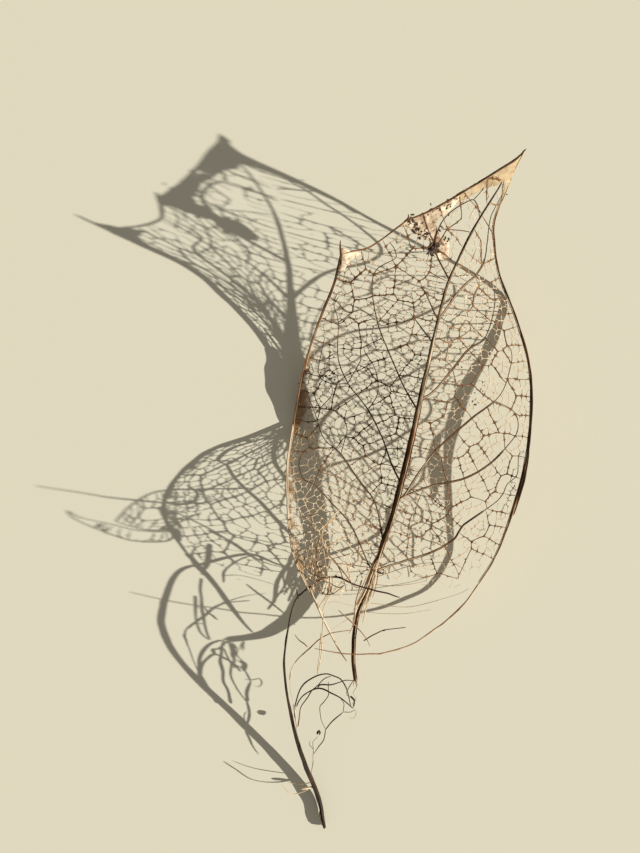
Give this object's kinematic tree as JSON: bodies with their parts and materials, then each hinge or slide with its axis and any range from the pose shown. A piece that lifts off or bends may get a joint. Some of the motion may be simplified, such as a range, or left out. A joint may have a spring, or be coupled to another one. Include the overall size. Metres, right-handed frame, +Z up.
{
  "type": "skeletonised holly leaf",
  "caption": "Dry holly leaf worn down to its skeleton: bowed stalk, midrib, thick spined margin and a curled lace of veins, lying flat.",
  "frame": {"origin": "centre of the leaf's box in plan, on the surface that the leaf lies on", "axes": "+Z up from that surface, +Y from the foot of the stalk towards the apex, +X to the right seen from above"},
  "size_m": [0.0282, 0.0738, 0.0164],
  "materials": {
    "leaf_veins": "matt dry woody fibre"
  },
  "bodies": {
    "root": {"leaf_skeleton": "leaf_veins"}
  },
  "joints": []
}
